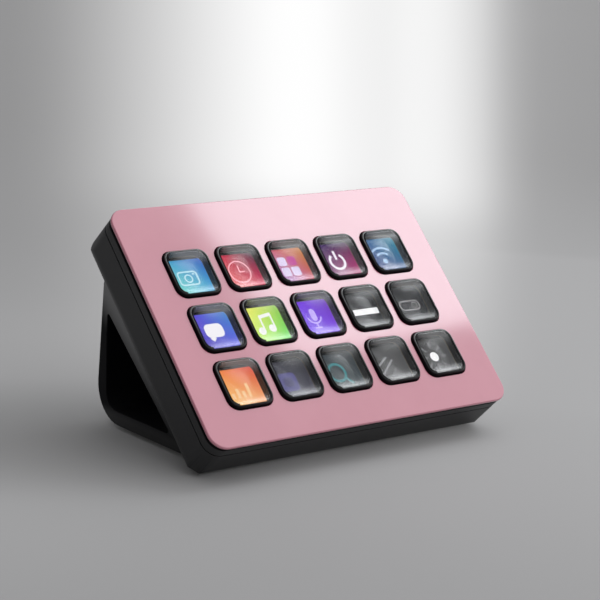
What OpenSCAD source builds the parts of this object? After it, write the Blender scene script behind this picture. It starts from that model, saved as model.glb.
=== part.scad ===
// Macro keypad: fifteen picture keys over one display, in a shallow deck on a detachable wedge stand.
// The deck is drawn lying flat, its front surface at Z = 0, and in_deck() tilts it onto the stand.
// Frame: +X to the right, +Y to the rear, +Z up, origin on the table under the middle of the object.

/* [Key grid] */
// Number of key columns
columns = 5; // [4:1:6]
// Number of key rows
rows = 3; // [2:1:3]
// Distance between the centres of neighbouring keys
key_pitch = 19.6; // [19.4:0.1:21]
// Width of the faceplate beside the key grid
border_side = 10; // [10:0.5:14]
// Width of the faceplate above the key grid
border_top = 15.3; // [14:0.1:20]
// Width of the faceplate below the key grid
border_bottom = 9.9; // [9.9:0.1:12]

/* [Keys] */
// Outer width of one key, over its black rim
key_w = 16.2; // [15.6:0.1:16.4]
// Corner radius of one key
key_corner = 3.4; // [2.6:0.1:4]
// Width of the black rim round the clear cap
rim_w = 0.7; // [0.6:0.1:1]
// Height of the clear cap above the faceplate
key_proud = 0.5; // [0.3:0.1:1]
// Height of the cap above its own rim
rim_drop = 0.15; // [0.1:0.05:0.25]
// Depth of the dish in the top of the cap
dish_depth = 0.35; // [0.2:0.05:0.5]
// Gap round a key in its aperture
key_gap = 0.4; // [0.3:0.05:0.5]
// How far a key goes down
key_travel = 0.7; // [0.4:0.05:0.7]
// How far the retaining flange reaches beyond the key
flange_w = 0.9; // [0.7:0.1:1]
// Thickness of the retaining flange
flange_t = 0.6; // [0.5:0.1:1]
// Length of the cap below its flange
cap_nose = 0.6; // [0.4:0.1:0.8]

/* [Deck] */
// Thickness of the faceplate
plate_t = 1; // [0.8:0.1:1.5]
// Corner radius of the faceplate
plate_corner = 5.5; // [4.5:0.5:8]
// Chamfer round the faceplate's front edge
plate_edge = 0.3; // [0.2:0.05:0.5]
// Overall depth of the deck, from its front surface to its rear face
deck_depth = 25; // [24:0.5:28]
// Depth at which the straight sides turn into the rear taper
side_depth = 16; // [15:0.5:17]
// Radius of that turn
side_round = 5; // [1:0.5:6]
// Corner radius of the rear face, which its flats follow
rear_corner = 5; // [3:0.5:7]
// Setback of the black body from the faceplate's edge
body_inset = 0.3; // [0.2:0.1:0.5]
// Depth of the finger groove behind the faceplate, measured into the side
groove_d = 0.8; // [0.5:0.1:1.2]
// Height of the finger groove
groove_h = 1.5; // [1:0.1:1.8]
// Depth of the parting line between front frame and rear housing
parting_depth = 5.2; // [5:0.1:6]
// Wall of the frame's sides and of the rear housing
wall = 1.6; // [1.4:0.1:1.6]
// Thickness of the web that holds the key flanges down
web_t = 0.7; // [0.6:0.1:1]

/* [Key mat and display] */
// Height of the mat's pads under a key's flange
mat_pad_h = 0.15; // [0.1:0.05:0.2]
// Thickness of the mat's sheet
mat_t = 0.3; // [0.3:0.05:0.5]
// Thickness of the contact film
film_t = 0.15; // [0.1:0.05:0.2]
// Margin of mat and film round the key grid
mat_margin = 1.7; // [1:0.1:1.8]
// Margin of the display beside the key grid
display_side = 3.75; // [2:0.05:3.75]
// Margin of the display above the key grid
display_top = 1.8; // [1.8:0.1:2.5]
// Margin of the display below the key grid
display_bottom = 6.6; // [4:0.1:6.6]
// Thickness of the display module
display_t = 2.9; // [2.6:0.1:3.2]
// Thickness of the display glass
glass_t = 1.4; // [1:0.1:1.6]
// Wall of the tray that holds the glass
tray_wall = 0.4; // [0.3:0.1:0.6]

/* [Electronics] */
// Thickness of the spacer between display and main board
spacer_t = 2.35; // [2.2:0.05:3]
// Width of the spacer's frame
spacer_w = 5; // [3:0.5:7]
// Thickness of the main board
board_t = 1.6; // [1:0.2:1.6]
// Height of the main board, up the deck
board_h = 73; // [70:0.5:82]
// Place of the USB-C socket above the deck's middle
usb_y = 8; // [4:0.5:9]
// Depth of the recess round the USB-C socket
usb_recess = 5; // [4:0.5:6]
// Width of the recess, side to side
usb_recess_w = 16; // [15:0.5:20]
// Height of the recess, up the deck
usb_recess_h = 10; // [9:0.5:12]

/* [Screws] */
// Radius of the screws that hold the deck together
screw_r = 0.95; // [0.8:0.05:0.95]
// Length of the screws under the head
screw_l = 9; // [8:0.5:9.5]
// Head radius of the screws
screw_head_r = 1.9; // [1.6:0.1:2]
// Head height of the screws
screw_head_h = 1.4; // [1:0.1:1.6]
// Radius of the posts that take the screws
post_r = 2.05; // [1.8:0.05:2.05]
// Distance of the screws from the main board's upper and lower edges
screw_edge = 3; // [3:0.5:4]

/* [Stand] */
// Angle of the deck from level
tilt = 45; // [42:1:48]
// Overall depth of the object on the table
overall_depth = 74.7; // [74:0.1:80]
// Height of the deck's lowest edge above the table
deck_lift = 0.7; // [0.5:0.1:1.2]
// Setback of the stand from the sides of the deck's rear face
stand_inset = 0.1; // [0:0.1:6]
// Thickness of the stand's front member at its lower end
member_low = 3.2; // [3:0.1:5]
// Thickness of the stand's front member at its upper end
member_high = 8.2; // [6:0.1:9]
// Thickness of the stand's rear wall at the top
rear_wall_top = 2; // [1.8:0.1:3]
// Thickness of the stand's rear wall at the base
rear_wall_low = 5.8; // [4:0.1:6.5]
// How much further back the rear wall stands at its base than at its top
rear_lean = 2; // [0:0.1:3]
// Thickness of the stand's base
base_t = 4.4; // [4:0.1:6]
// Outer radius between rear wall and base
heel_r = 12; // [6:0.5:14]
// Width of the window for the plug
window_w = 34; // [26:1:40]
// Height of the window for the plug, up the deck
window_h = 22; // [16:0.5:24]
// Width of the cable opening in the rear wall
cable_w = 30; // [16:1:40]
// Height of the cable opening
cable_h = 15; // [10:0.5:16]
// Distance of the stand's hooks from the middle
hook_x = 32; // [26:1:38]
// Width of one hook
hook_w = 10; // [6:0.5:14]

/* [Base pad] */
// Height of the rubber pad below the stand's base
pad_proud = 1.4; // [1:0.1:2]
// Depth of the pad's recess
pad_sunk = 0.8; // [0.5:0.1:1.5]
// Distance of the pad from the stand's sides
pad_side = 3.5; // [2:0.5:8]
// Distance of the pad from the front end of the base
pad_front = 5; // [4:0.5:10]

/* [Hidden] */
KEYS = [for (r = [1:rows], c = [1:columns]) str("r", r, "c", c)];

$fn = 48;
eps = 0.01;
arc_steps = 6;

// Fits
stop_gap = 0.05;       // between a key's flange and the web above it
press_gap = 0.1;       // left under a key that is pressed right down
slip_gap = 0.2;        // round a flange in its chamber, a pad in its recess
close_gap = 0.05;      // round a cap in its rim, a glass in its tray, a flex in its connector
shank_gap = 0.02;      // round a screw in its post
nose_gap = 0.3;        // round the nose of a cap in the mat's window
wall_gap = 0.4;        // between the board or its flex and the housing's walls
over = 1;              // overshoot of a cut past the surface that it opens

// The display's flex, which goes round the board's lower edge
flex_w = 25;
flex_t = 0.2;
flex_run = 0.8;

// Plan sizes, seen on the deck
plate_w = columns * key_pitch + 2 * border_side;
board_room = flex_run + flex_t + wall_gap + wall + body_inset;
plate_h = max(rows * key_pitch + border_top + border_bottom, board_h + 2 * board_room);
grid_y = (border_bottom - border_top) / 2;
grid_w = columns * key_pitch;
grid_h = rows * key_pitch;
body = [plate_w - 2 * body_inset, plate_h - 2 * body_inset];
body_corner = plate_corner - body_inset;
inside = [body[0] - 2 * wall, body[1] - 2 * wall];
inside_corner = body_corner - wall;
taper = deck_depth - side_depth;
rear_face = [body[0] - 2 * taper, body[1] - 2 * taper];
rear_round = 1;
corner_room = 0.3;
sheet_corner = 2;
aperture = key_w + 2 * key_gap;
cap_w = key_w - 2 * rim_w;
cap_corner = key_corner - rim_w;
flange = key_w + 2 * flange_w;
flange_corner = key_corner + flange_w;
mat_window = cap_w + 2 * nose_gap;
mat_window_corner = cap_corner + nose_gap;
display = [grid_w + 2 * display_side, grid_h + display_top + display_bottom];
display_y = grid_y + (display_top - display_bottom) / 2;
display_low = display_y - display[1] / 2;
display_high = display_y + display[1] / 2;
board_w = inside[0] - 2 * wall_gap;
screw_x = (inside[0] + display[0]) / 4;
screw_y = board_h / 2 - screw_edge;
screw_seat = 2.9;

// Levels, measured down from the faceplate's front surface
web_z = -plate_t - web_t;
flange_z = web_z - stop_gap;
flange_low = flange_z - flange_t;
cap_low = flange_low - cap_nose;
mat_pad_z = flange_low - key_travel - press_gap;
mat_z = mat_pad_z - mat_pad_h;
film_z = mat_z - mat_t;
display_z = film_z - film_t;
spacer_z = display_z - display_t;
board_z = spacer_z - spacer_t;
board_low = board_z - board_t;
usb_floor = -deck_depth + usb_recess;
head_z = board_low - screw_seat;

// The deck on its stand
deck_low = max((body[1] / 2) * sin(tilt) + side_depth * cos(tilt),
               (rear_face[1] / 2) * sin(tilt) + deck_depth * cos(tilt));
deck_front = max((plate_h / 2 - plate_edge) * cos(tilt), plate_h / 2 * cos(tilt) - plate_edge * sin(tilt));
deck_y = deck_front - overall_depth / 2;
deck_z = deck_lift + deck_low;

// Geometry helpers
function unit(v) = v / norm(v);
function on_table(p) =
    [deck_y + p[0] * cos(tilt) - p[1] * sin(tilt), deck_z + p[0] * sin(tilt) + p[1] * cos(tilt)];
function crossing(a, b, c, d) =
    let (u = b - a, v = d - c, w = c - a)
    a + u * (w[0] * v[1] - w[1] * v[0]) / (u[0] * v[1] - u[1] * v[0]);
function fillet(a, b, c, r, steps) =
    r == 0 ? [b] :
    let (u = unit(a - b), v = unit(c - b), half = acos(u * v) / 2,
         middle = b + unit(u + v) * r / sin(half),
         from = b + u * r / tan(half) - middle, to = b + v * r / tan(half) - middle,
         start = atan2(from[1], from[0]),
         turn = (atan2(to[1], to[0]) - start + 540) % 360 - 180)
    [for (k = [0:steps]) middle + r * [cos(start + turn * k / steps), sin(start + turn * k / steps)]];
function rounded(points, radii, steps = arc_steps) =
    let (n = len(points))
    [for (i = [0:n - 1])
        each fillet(points[(i + n - 1) % n], points[i], points[(i + 1) % n], radii[i], steps)];
function key_place(r, c) = [(c - (columns + 1) / 2) * key_pitch, grid_y + ((rows + 1) / 2 - r) * key_pitch];

module in_deck() {
    translate([0, deck_y, deck_z]) rotate([tilt, 0, 0]) children();
}

module at_keys() {
    for (r = [1:rows], c = [1:columns]) translate(key_place(r, c)) children();
}

module at_screws() {
    for (x = [-1, 1], y = [-1, 1]) translate([x * screw_x, y * screw_y, 0]) children();
}

module rounded_rectangle(size, r) {
    square([size[0] - 2 * r, size[1]], center = true);
    square([size[0], size[1] - 2 * r], center = true);
    for (x = [-1, 1], y = [-1, 1]) translate([x * (size[0] / 2 - r), y * (size[1] / 2 - r)]) circle(r);
}

// A rounded plate from height low up to height high
module slab(size, r, low, high) {
    translate([0, 0, low]) linear_extrude(high - low) rounded_rectangle(size, r);
}

module block(size, low, high) {
    translate([-size[0] / 2, -size[1] / 2, low]) cube([size[0], size[1], high - low]);
}

// A slab whose upper edge is chamfered by c all round
module chamfered_slab(size, r, low, high, c) {
    t = high - low;
    translate([0, 0, low]) {
        for (k = [0, 1]) rotate([90, 0, 90 * k])
            linear_extrude(size[1 - k] - 2 * r, center = true)
                polygon([[-size[k] / 2, 0], [size[k] / 2, 0], [size[k] / 2, t - c],
                         [size[k] / 2 - c, t], [c - size[k] / 2, t], [-size[k] / 2, t - c]]);
        for (x = [-1, 1], y = [-1, 1]) translate([x * (size[0] / 2 - r), y * (size[1] / 2 - r), 0]) {
            cylinder(r = r, h = t - c);
            translate([0, 0, t - c]) cylinder(r1 = r, r2 = r - c, h = c);
        }
    }
}

// An outline in the YZ plane, drawn out along X
module along_x(width, outline) {
    rotate([90, 0, 90]) linear_extrude(width, center = true) polygon(outline);
}

/* ---- Deck: outer pieces ---- */
clip_x = 40;
clip_w = 6;
clip_t = 1;
clip_bump = 0.3;
clip_inset = 5;
clip_slack = 0.3;
clip_y = [for (side = [-1, 1]) side * (plate_h / 2 - clip_inset)];
clip_low = mat_z + slip_gap;

module at_clips() {
    for (x = [-clip_x, 0, clip_x], y = clip_y) translate([x, y, 0]) children();
}

module faceplate() {
    color([0.87, 0.66, 0.71]) in_deck() {
        difference() {
            chamfered_slab([plate_w, plate_h], plate_corner, -plate_t, 0, plate_edge);
            at_keys() slab([aperture, aperture], key_corner + key_gap, -plate_t - over, over);
        }
        at_clips() along_x(clip_w, [
            [-clip_t / 2, -plate_t], [clip_t / 2, -plate_t], [clip_t / 2, clip_low + 3 * clip_bump],
            [clip_t / 2 + clip_bump, clip_low + 2 * clip_bump], [clip_t / 2, clip_low],
            [-clip_t / 2, clip_low]]);
    }
}

module front_frame() {
    chamber = flange + 2 * slip_gap;
    color([0.1, 0.1, 0.11]) in_deck() difference() {
        union() {
            slab([body[0] - 2 * groove_d, body[1] - 2 * groove_d], body_corner - groove_d, mat_z, -plate_t);
            slab(body, body_corner, mat_z, -plate_t - groove_h);
            difference() {
                slab(body, body_corner, -parting_depth, mat_z);
                slab(inside, inside_corner, -parting_depth - over, mat_z);
            }
            at_screws() translate([0, 0, board_z]) cylinder(r = post_r, h = mat_z - board_z);
        }
        at_keys() slab([aperture, aperture], key_corner + key_gap, mat_z - over, 0);
        at_keys() slab([chamber, chamber], flange_corner + slip_gap, mat_z - over, web_z);
        at_screws() translate([0, 0, board_z - over])
            cylinder(r = screw_r + shank_gap, h = over + mat_z - eps - board_z);
        at_clips() translate([0, clip_bump / 2, 0])
            block([clip_w + 2 * clip_slack, clip_t + clip_bump + 2 * clip_slack], mat_z - over, 0);
    }
}

// Cross-section of the housing's form, straight and then tapered by run, taken in by skin all round
function housing_outline(half, run, skin, top) =
    let (lean = atan(run / taper),
         side = half - skin,
         turn = skin * tan(lean / 2) - side_depth,
         rear = half - run - skin * tan(45 - lean / 2),
         low = skin - deck_depth)
    rounded([[-side, -top], [side, -top], [side, turn], [rear, low], [-rear, low], [-side, turn]],
            [0, 0, side_round - skin / 2, rear_round, rear_round, side_round - skin / 2]);
// Distance from the middle to a rounded corner, across the corner
function corner_reach(size, r) = (size[0] / 2 + size[1] / 2 - 2 * r) / sqrt(2) + r;

// Straight sides that taper in to the rear face, with a flat across each tapered corner
module housing_form(skin, top) {
    reach = corner_reach(body, body_corner) + corner_room;
    run = reach - corner_reach(rear_face, rear_corner);
    intersection() {
        slab([body[0] - 2 * skin, body[1] - 2 * skin], body_corner - skin, -deck_depth, -top);
        along_x(plate_w, housing_outline(body[1] / 2, taper, skin, top));
        rotate([0, 0, 90]) along_x(plate_h, housing_outline(body[0] / 2, taper, skin, top));
        intersection_for (a = [-45, 45]) rotate([0, 0, a])
            along_x(2 * plate_w, housing_outline(reach, run, skin, top));
    }
}

hook_t = 2;
hook_lip = 1.2;
hook_lead = 0.4;
hook_catch = 1.4;
hook_root = 2;
hook_y = [-24, 24];
boss_wall = 1.1;
rim_step = 0.3;
socket_wall = 1.4;
shell_w = 8.94;
shell_h = 3.16;
shell_wall = 0.3;
shell_gap = 0.15;
recess_corner = 2;

module at_hooks() {
    for (x = [-hook_x, hook_x], y = hook_y) translate([x, y, 0]) children();
}

module rear_housing() {
    boss_r = screw_head_r + slip_gap + boss_wall;
    color([0.11, 0.11, 0.12]) in_deck() difference() {
        housing_form(0, parting_depth + eps);
        difference() {
            housing_form(wall, parting_depth - over);
            at_screws() translate([0, 0, -deck_depth]) cylinder(r = boss_r, h = deck_depth + board_low);
            translate([0, usb_y, 0])
                block([usb_recess_w + 2 * wall, usb_recess_h + 2 * wall],
                      -deck_depth, usb_floor + socket_wall);
        }
        // stepped shadow line at the parting
        difference() {
            slab([body[0] + 2 * over, body[1] + 2 * over], body_corner + over,
                 -parting_depth - rim_step, 0);
            slab([body[0] - 2 * rim_step, body[1] - 2 * rim_step], body_corner - rim_step,
                 -parting_depth - over, over);
        }
        at_screws() {
            translate([0, 0, -deck_depth - over])
                cylinder(r = screw_head_r + slip_gap, h = deck_depth + over + head_z);
            translate([0, 0, head_z - over]) cylinder(r = screw_r + slip_gap, h = 2 * over + screw_seat);
        }
        translate([0, usb_y, 0]) {
            slab([usb_recess_w, usb_recess_h], recess_corner, -deck_depth - over, usb_floor);
            slab([shell_w + 2 * shell_gap, shell_h + 2 * shell_gap], shell_h / 2 + shell_gap - eps,
                 usb_floor - over, usb_floor + socket_wall + over);
        }
        at_hooks() translate([0, -(hook_t + hook_lip) / 2, 0])
            block([hook_w + 2 * clip_slack, hook_t + hook_lip + 2 * slip_gap], -deck_depth - over,
                  -deck_depth + wall + over);
    }
}

/* ---- Deck: keys ---- */
module key_cap(r, c) {
    half = cap_w / 2;
    sphere_r = (half * half + dish_depth * dish_depth) / (2 * dish_depth);
    color([0.75, 0.8, 0.85, 0.5]) in_deck() translate(key_place(r, c)) difference() {
        slab([cap_w, cap_w], cap_corner, cap_low, key_proud);
        translate([0, 0, key_proud - dish_depth + sphere_r]) sphere(sphere_r, $fn = 180);
    }
}

module key_rim(r, c) {
    color([0.05, 0.05, 0.06]) in_deck() translate(key_place(r, c)) difference() {
        union() {
            slab([key_w, key_w], key_corner, flange_low, key_proud - rim_drop);
            slab([flange, flange], flange_corner, flange_low, flange_z);
        }
        slab([cap_w + 2 * close_gap, cap_w + 2 * close_gap], cap_corner + close_gap,
             flange_low - over, key_proud + over);
    }
}

module rubber_key_mat() {
    pad = flange - 2 * slip_gap;
    color([0.25, 0.25, 0.26]) in_deck() difference() {
        union() {
            translate([0, grid_y, 0])
                slab([grid_w + 2 * mat_margin, grid_h + 2 * mat_margin], sheet_corner, film_z, mat_z);
            at_keys() slab([pad, pad], flange_corner - slip_gap, mat_z - eps, mat_pad_z);
        }
        at_keys() slab([mat_window, mat_window], mat_window_corner, film_z - over, 0);
    }
}

/* ---- Deck: contact film and display ---- */
tail_w = 12;
tail_run = 1.6;
tail_x = -20;
connector_w = 2.5;
connector_h = 1.8;
film_connector_gap = 3;
film_connector_y = display_high + film_connector_gap;
film_connector_t = 4;
film_slot_z = board_z + connector_h / 2;

// Outline of a thin ribbon that follows a path of corners, with its turns rounded
function ribbon(path, t) =
    let (n = len(path),
         sides = [for (i = [0:n - 1])
             let (d = i < n - 1 ? unit(path[i + 1] - path[i]) : unit(path[i] - path[i - 1]),
                  e = i > 0 ? unit(path[i] - path[i - 1]) : d,
                  left = [-d[1] - e[1], d[0] + e[0]] / 2)
             left / (left * left) * t / 2])
    concat([for (i = [0:n - 1]) path[i] + sides[i]], [for (i = [n - 1:-1:0]) path[i] - sides[i]]);

module contact_film() {
    z = film_z - film_t / 2;
    turn_y = display_high + tail_run;
    color([0.72, 0.6, 0.3]) in_deck() {
        difference() {
            translate([0, grid_y, 0])
                slab([grid_w + 2 * mat_margin, grid_h + 2 * mat_margin], sheet_corner, display_z, film_z);
            at_keys() slab([mat_window, mat_window], mat_window_corner, display_z - over, 0);
        }
        translate([tail_x, 0, 0]) along_x(tail_w, ribbon([
            [grid_y + grid_h / 2 + mat_margin, z], [turn_y, z], [turn_y, film_slot_z],
            [film_connector_y + film_connector_t / 2, film_slot_z]], film_t));
    }
}

// A connector on the board with a slot across its face; the face looks along +Y or -Y
module flex_connector(width, depth, slot, slot_t) {
    difference() {
        block([width + 2 * connector_w, depth], board_z, board_z + connector_h);
        translate([-width / 2 - close_gap, -depth / 2 - over, slot - slot_t / 2 - close_gap])
            cube([width + 2 * close_gap, depth / 2 + over + close_gap, slot_t + 2 * close_gap]);
    }
}

module film_connector() {
    color([0.85, 0.82, 0.74]) in_deck()
        translate([tail_x, film_connector_y + film_connector_t / 2, 0])
            flex_connector(tail_w, film_connector_t, film_slot_z, film_t);
}

module display_glass() {
    color([0.06, 0.06, 0.08]) in_deck() translate([0, display_y, 0])
        block([display[0] - 2 * (tray_wall + close_gap), display[1] - 2 * (tray_wall + close_gap)],
              display_z - glass_t, display_z);
}

module display_tray() {
    color([0.75, 0.76, 0.78]) in_deck() translate([0, display_y, 0]) difference() {
        block(display, spacer_z, display_z);
        block([display[0] - 2 * tray_wall, display[1] - 2 * tray_wall],
              display_z - glass_t, display_z + over);
    }
}

flex_bond = 0.4;
flex_connector_gap = 3.5;
flex_connector_y = flex_connector_gap - board_h / 2;
flex_connector_d = 4;
flex_slot_z = board_low - connector_h / 2;

module display_flex() {
    turn_y = min(display_low, -board_h / 2) - flex_run;
    bond_z = display_z - glass_t - flex_bond;
    color([0.8, 0.55, 0.2]) in_deck() along_x(flex_w, ribbon([
        [display_low - close_gap, bond_z], [turn_y, bond_z],
        [turn_y, flex_slot_z], [flex_connector_y + flex_connector_d / 2, flex_slot_z]], flex_t));
}

module display_connector() {
    color([0.85, 0.82, 0.74]) in_deck() translate([0, flex_connector_y + flex_connector_d / 2, 0])
        translate([0, 0, board_z + board_low]) mirror([0, 0, 1])
            flex_connector(flex_w, flex_connector_d, board_z + connector_h / 2, flex_t);
}

module display_spacer() {
    color([0.88, 0.88, 0.86]) in_deck() translate([0, display_y, 0]) difference() {
        block(display, board_z, spacer_z);
        slab([display[0] - 2 * spacer_w, display[1] - 2 * spacer_w], sheet_corner,
             board_z - over, spacer_z + over);
    }
}

/* ---- Deck: electronics ---- */
chip_y = -6;
controller_x = -28;
controller_w = 14;
controller_t = 1.5;
controller_pin = 1;
controller_pin_t = 0.1;
memory_x = 24;
memory_step = 10;
memory_w = 5.3;
memory_t = 1.8;

module main_board() {
    color([0.05, 0.3, 0.16]) in_deck() difference() {
        slab([board_w, board_h], inside_corner, board_low, board_z);
        at_screws() translate([0, 0, board_low - over])
            cylinder(r = screw_r + slip_gap, h = board_t + 2 * over);
    }
}

module microcontroller() {
    color([0.07, 0.07, 0.08]) in_deck() translate([controller_x, chip_y, 0]) {
        block([controller_w, controller_w], board_low - controller_t, board_low - controller_pin_t);
        block([controller_w + 2 * controller_pin, controller_w - controller_pin],
              board_low - controller_pin_t, board_low);
    }
}

module memory_chips() {
    color([0.07, 0.07, 0.08]) in_deck() for (k = [0, 1]) translate([memory_x + k * memory_step, chip_y, 0])
        block([memory_w, memory_w], board_low - memory_t, board_low);
}

module stadium(w, h, low, high) {
    translate([0, 0, low]) linear_extrude(high - low) {
        square([w - h, h], center = true);
        for (x = [-1, 1]) translate([x * (w - h) / 2, 0]) circle(h / 2);
    }
}

usb_mouth = usb_floor + slip_gap;
tongue_back = 2.5;
tongue_w = 6.7;
tongue_t = 0.7;
tongue_setback = 0.5;

module usb_c_shell() {
    color([0.72, 0.73, 0.75]) in_deck() translate([0, usb_y, 0]) difference() {
        stadium(shell_w, shell_h, usb_mouth, board_low);
        stadium(shell_w - 2 * shell_wall, shell_h - 2 * shell_wall, usb_mouth - over, board_low + over);
    }
}

module usb_c_tongue() {
    inner_w = shell_w - 2 * (shell_wall + close_gap);
    inner_h = shell_h - 2 * (shell_wall + close_gap);
    color([0.08, 0.08, 0.09]) in_deck() translate([0, usb_y, 0]) {
        stadium(inner_w, inner_h, board_low - tongue_back, board_low);
        block([tongue_w, tongue_t], usb_mouth + tongue_setback, board_low - tongue_back);
    }
}

drive_w = 0.5;
drive_reach = 1.2;

module housing_screws() {
    color([0.55, 0.56, 0.58]) in_deck() at_screws() difference() {
        union() {
            translate([0, 0, head_z - screw_head_h]) cylinder(r = screw_head_r, h = screw_head_h);
            translate([0, 0, head_z - eps]) cylinder(r = screw_r, h = screw_l + eps);
        }
        for (turn = [0, 90]) rotate([0, 0, turn])
            block([screw_head_r * drive_reach, drive_w], head_z - screw_head_h - over,
                  head_z - screw_head_h / 2);
    }
}

/* ---- Stand ---- */
stand_w = rear_face[0] - 2 * stand_inset;
base_z = pad_proud;
base_top = base_z + base_t;
rear_y = overall_depth / 2;
face_top = on_table([rear_face[1] / 2, -deck_depth]);
face_low = on_table([-rear_face[1] / 2, -deck_depth]);
top_drop = 0.5;
rear_slope = atan(rear_lean / (face_top[1] - top_drop - base_z));
heel_y = rear_y + heel_r * (tan(rear_slope) + 1 / cos(rear_slope) - 1);
stand_top = [heel_y - rear_lean, face_top[1] - top_drop];
stand_heel = [heel_y, base_z];
stand_toe = crossing(face_top, face_low, [0, base_z], [1, base_z]);
// on a shallow stand the rear wall meets the deck's rear face below its upper edge
shallow = cross(face_top - face_low, stand_top - face_low) > 0;
stand_crest = shallow ? [crossing(face_top, face_low, stand_top, stand_heel)] : [face_top, stand_top];
member_top = on_table([rear_face[1] / 2, -deck_depth - member_high]);
member_foot = on_table([-rear_face[1] / 2, -deck_depth - member_low]);
wall_upper = stand_top - [rear_wall_top, 0];
wall_lower = stand_heel - [rear_wall_low, 0];
tunnel_apex = crossing(member_top, member_foot, wall_upper, wall_lower);
tunnel_heel = crossing(wall_upper, wall_lower, [0, base_top], [1, base_top]);
tunnel_toe = crossing(member_top, member_foot, [0, base_top], [1, base_top]);
top_round = 2;
toe_round = 0.6;
crest_round = shallow ? [toe_round] : [0, top_round];
tunnel_heel_r = 5.5;
tunnel_edge_r = 0.8;
window_corner = 4;
cable_corner = 5;
cable_sill = 2.2;
pad_corner = 3;
pad_heel = 1;

module stand_hook() {
    // the stem passes through the housing's rear wall and the lip catches behind it
    root = -deck_depth - hook_root;
    lip_low = -deck_depth + wall + close_gap;
    lip_high = -deck_depth + wall + hook_catch;
    along_x(hook_w, [
        [-hook_t, root], [0, root], [0, lip_low], [hook_lip, lip_low], [hook_lip, lip_high - hook_lead],
        [hook_lip - hook_lead, lip_high], [-hook_t, lip_high]]);
}

module stand() {
    outline = rounded(concat(stand_crest, [stand_heel, stand_toe]),
                      concat(crest_round, [heel_r, toe_round]), 10);
    tunnel = rounded([tunnel_apex, tunnel_heel, tunnel_toe], [tunnel_edge_r, tunnel_heel_r, tunnel_edge_r]);
    color([0.09, 0.09, 0.1]) {
        difference() {
            along_x(stand_w, outline);
            along_x(stand_w + 2, tunnel);
            difference() {
                in_deck() translate([0, usb_y, 0])
                    slab([window_w, window_h], window_corner,
                         -deck_depth - member_high - 2 * over, over - deck_depth);
                along_x(stand_w, [wall_upper + [0, heel_r], wall_upper, wall_lower, stand_heel + [over, 0],
                                  stand_top + [over, heel_r]]);
            }
            translate([0, rear_y + over, base_top + cable_sill + cable_h / 2]) rotate([90, 0, 0])
                slab([cable_w, cable_h], cable_corner, 0, rear_lean + rear_wall_low + 3 * over);
            translate([0, (pad_y[0] + pad_y[1]) / 2, 0])
                slab([pad_w + 2 * slip_gap, pad_y[1] - pad_y[0] + 2 * slip_gap], pad_corner + slip_gap,
                     -over, base_z + pad_sunk);
        }
        in_deck() at_hooks() stand_hook();
    }
}

pad_w = stand_w - 2 * pad_side;
pad_y = [stand_toe[0] + pad_front, rear_y - heel_r - pad_heel];

module stand_base_pad() {
    color([0.13, 0.13, 0.14]) translate([0, (pad_y[0] + pad_y[1]) / 2, 0])
        slab([pad_w, pad_y[1] - pad_y[0]], pad_corner, 0, base_z + pad_sunk);
}

faceplate();
front_frame();
rear_housing();
rubber_key_mat();
contact_film();
film_connector();
display_glass();
display_tray();
display_flex();
display_connector();
display_spacer();
main_board();
microcontroller();
memory_chips();
usb_c_shell();
usb_c_tongue();
housing_screws();
stand();
stand_base_pad();
for (r = [1:rows], c = [1:columns]) {
    key_cap(r, c);
    key_rim(r, c);
}
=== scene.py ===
import bpy
import bmesh
import math
from mathutils import Matrix, Vector


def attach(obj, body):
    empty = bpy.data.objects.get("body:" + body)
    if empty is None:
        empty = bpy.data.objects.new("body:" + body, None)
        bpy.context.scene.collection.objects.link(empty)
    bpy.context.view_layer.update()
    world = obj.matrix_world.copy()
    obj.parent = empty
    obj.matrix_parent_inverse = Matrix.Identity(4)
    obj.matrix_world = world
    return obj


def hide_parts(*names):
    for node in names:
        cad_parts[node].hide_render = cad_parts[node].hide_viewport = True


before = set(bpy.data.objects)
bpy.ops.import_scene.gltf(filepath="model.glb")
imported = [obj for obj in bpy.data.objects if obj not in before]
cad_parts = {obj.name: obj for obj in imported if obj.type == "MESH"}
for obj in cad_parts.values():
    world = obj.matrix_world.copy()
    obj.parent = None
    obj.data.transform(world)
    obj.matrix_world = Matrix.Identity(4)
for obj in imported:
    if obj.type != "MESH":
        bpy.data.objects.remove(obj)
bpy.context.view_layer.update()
scene = bpy.context.scene
mm = 0.001      # the shapes' settings are in millimetres, the scene is in metres
tiny = 1e-5     # heights closer than this, in millimetres, count as one
print("frame loaded")

# the deck's own frame: X to the right, Y up the plate, Z out of the plate
deck = {"y": -7.8636, "z": 41.5001, "tilt": 45.0, "pitch": 19.6, "gridY": -2.7, "rows": 3, "columns": 5}
deckPlace = (Matrix.Translation((0, deck["y"] * mm, deck["z"] * mm))
             @ Matrix.Rotation(math.radians(deck["tilt"]), 4, "X"))


def keyCentre(row, column):
    # rows are counted from the top, columns from the left
    aside = column - (deck["columns"] + 1) / 2
    above = (deck["rows"] + 1) / 2 - row
    return aside * deck["pitch"], deck["gridY"] + above * deck["pitch"]


def keyTag(row, column):
    return "r%dc%d" % (row, column)


def clamped(value):
    return min(1.0, max(0.0, value))


def colour(red, green, blue):
    # a screen colour, 0 to 255, as the linear colour that a shader takes
    def linear(value):
        value /= 255
        return value / 12.92 if value <= 0.04045 else ((value + 0.055) / 1.055) ** 2.4
    return linear(red), linear(green), linear(blue), 1.0


def fillInputs(tree, node, inputs):
    # an input takes a plain value, or a link from another node's output
    for key, value in inputs.items():
        if isinstance(value, bpy.types.NodeSocket):
            tree.links.new(value, node.inputs[key])
        else:
            node.inputs[key].default_value = value


def addNode(tree, kind, settings=None, inputs=None):
    made = tree.nodes.new(kind)
    for key, value in (settings or {}).items():
        setattr(made, key, value)
    fillInputs(tree, made, inputs or {})
    return made


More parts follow.
